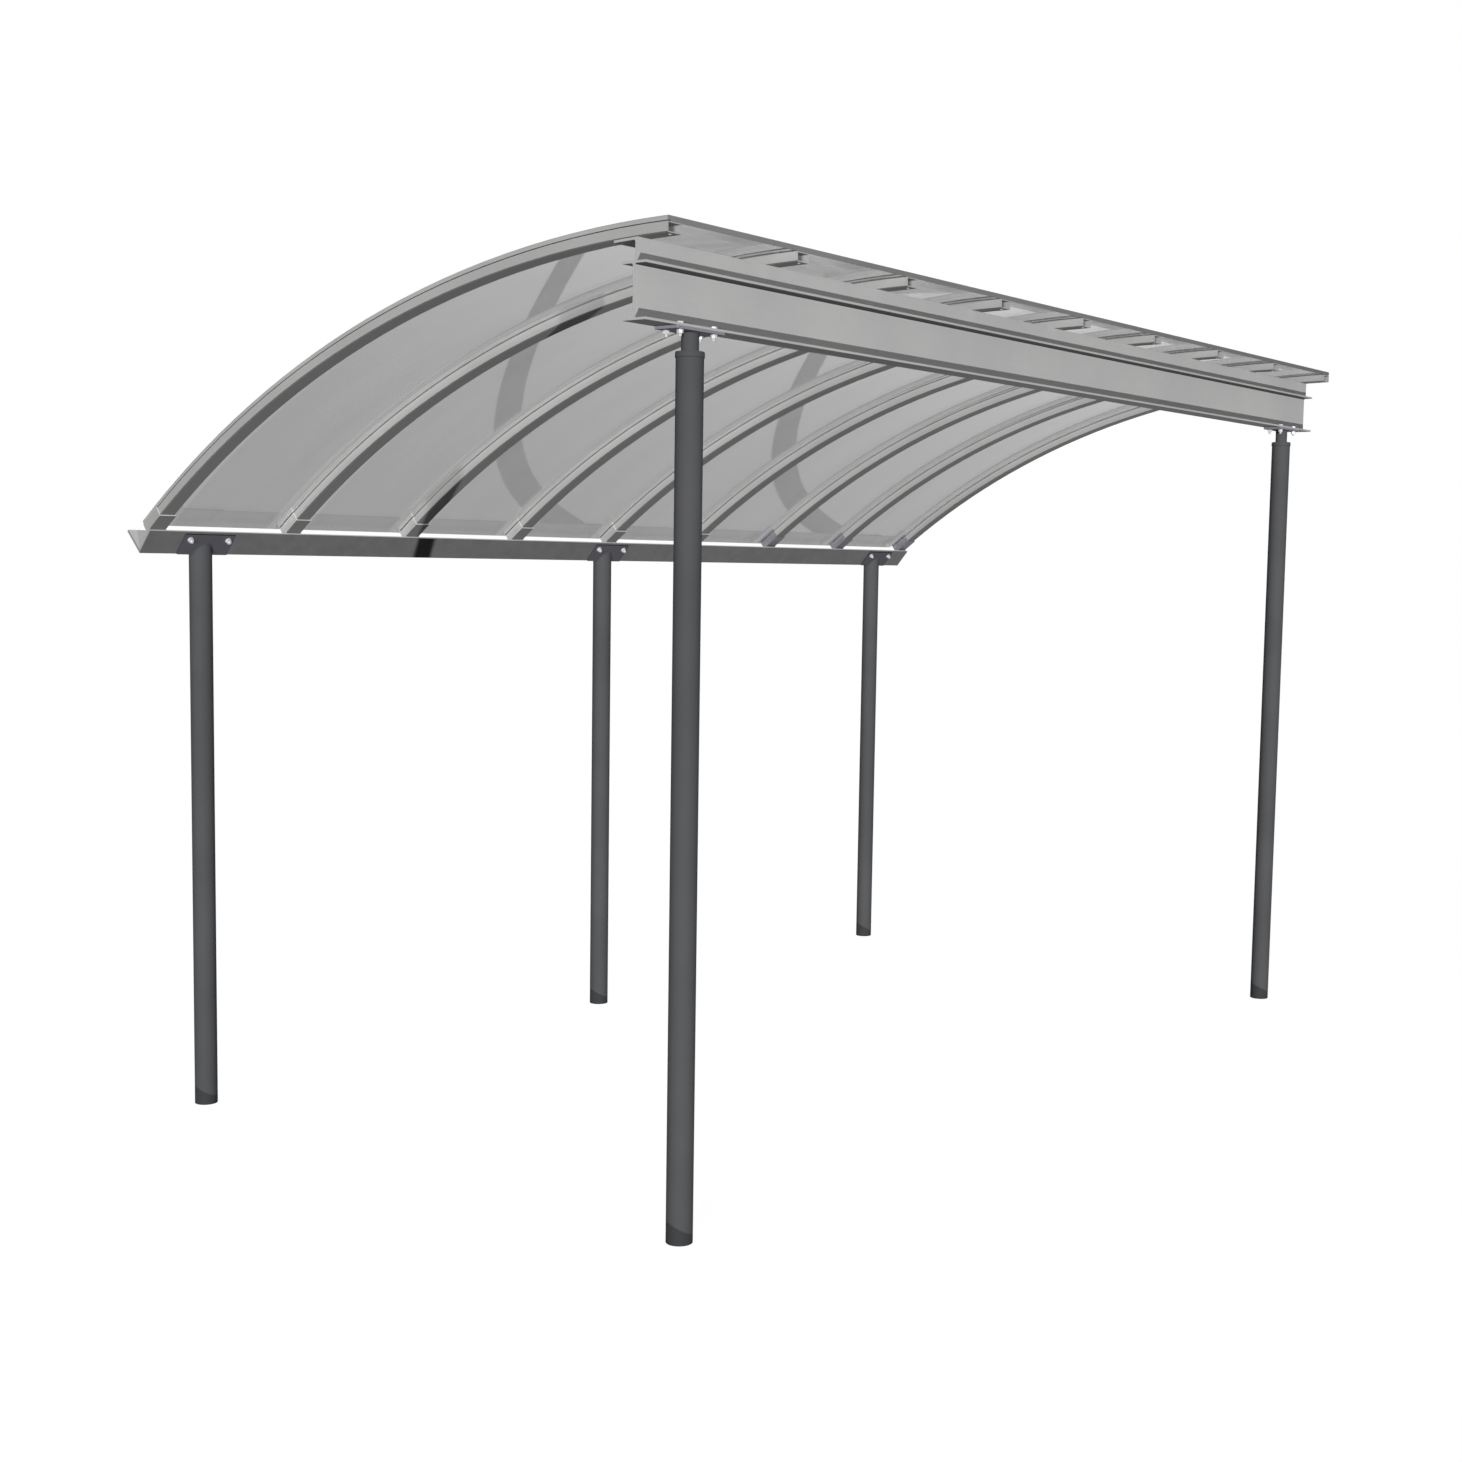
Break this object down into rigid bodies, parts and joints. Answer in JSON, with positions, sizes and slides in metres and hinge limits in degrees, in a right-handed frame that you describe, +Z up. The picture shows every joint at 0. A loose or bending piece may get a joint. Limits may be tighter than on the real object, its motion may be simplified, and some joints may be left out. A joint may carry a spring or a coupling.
{
  "type": "bike shelter",
  "caption": "Lean-to bike shelter: an open frame of round posts, a front beam, a rear V gutter and curved rafters that carry bent see-through sheets.",
  "frame": {"origin": "on the floor, at the middle of the bounding box in length and depth", "axes": "+X along the shelter, to the right as seen from the open high side; +Y from the open side to the gutter; +Z up"},
  "size_m": [4.47, 2.307, 2.7526],
  "materials": {
    "post_paint": "satin anthracite powder coat",
    "plate_paint": "satin dark grey",
    "beam_aluminium": "matt mill finish",
    "gutter_aluminium": "matt mill finish",
    "rafter_aluminium": "matt mill finish",
    "cover_aluminium": "satin",
    "tinted_sheet": "clear, smoke grey tint",
    "gasket_rubber": "matt",
    "trim_metal": "satin dark grey",
    "shoe_aluminium": "matt",
    "shoe_steel": "matt, bluish"
  },
  "bodies": {
    "root": {"front_post_left": "post_paint", "front_post_slider_left": "post_paint", "front_post_collar_left": "post_paint", "front_head_plate_left": "plate_paint", "front_post_right": "post_paint", "front_post_slider_right": "post_paint", "front_post_collar_right": "post_paint", "front_head_plate_right": "plate_paint", "rear_post_left": "post_paint", "rear_head_plate_left": "plate_paint", "rear_post_middle": "post_paint", "rear_head_plate_middle": "plate_paint", "rear_post_right": "post_paint", "rear_head_plate_right": "plate_paint", "front_beam": "beam_aluminium", "gutter_beam": "gutter_aluminium", "rafter_1": "rafter_aluminium", "rafter_2": "rafter_aluminium", "rafter_3": "rafter_aluminium", "rafter_4": "rafter_aluminium", "rafter_5": "rafter_aluminium", "rafter_6": "rafter_aluminium", "rafter_7": "rafter_aluminium", "rafter_8": "rafter_aluminium", "rafter_9": "rafter_aluminium", "cover_strip_1": "cover_aluminium", "cover_strip_2": "cover_aluminium", "cover_strip_3": "cover_aluminium", "cover_strip_4": "cover_aluminium", "cover_strip_5": "cover_aluminium", "cover_strip_6": "cover_aluminium", "cover_strip_7": "cover_aluminium", "cover_strip_8": "cover_aluminium", "cover_strip_9": "cover_aluminium", "roof_panel_1": "tinted_sheet", "roof_panel_2": "tinted_sheet", "roof_panel_3": "tinted_sheet", "roof_panel_4": "tinted_sheet", "roof_panel_5": "tinted_sheet", "roof_panel_6": "tinted_sheet", "roof_panel_7": "tinted_sheet", "roof_panel_8": "tinted_sheet", "glazing_gaskets": "gasket_rubber", "front_edge_trim": "trim_metal", "rafter_shoes_aluminium": "shoe_aluminium", "rafter_shoes_steel": "shoe_steel"}
  },
  "joints": []
}
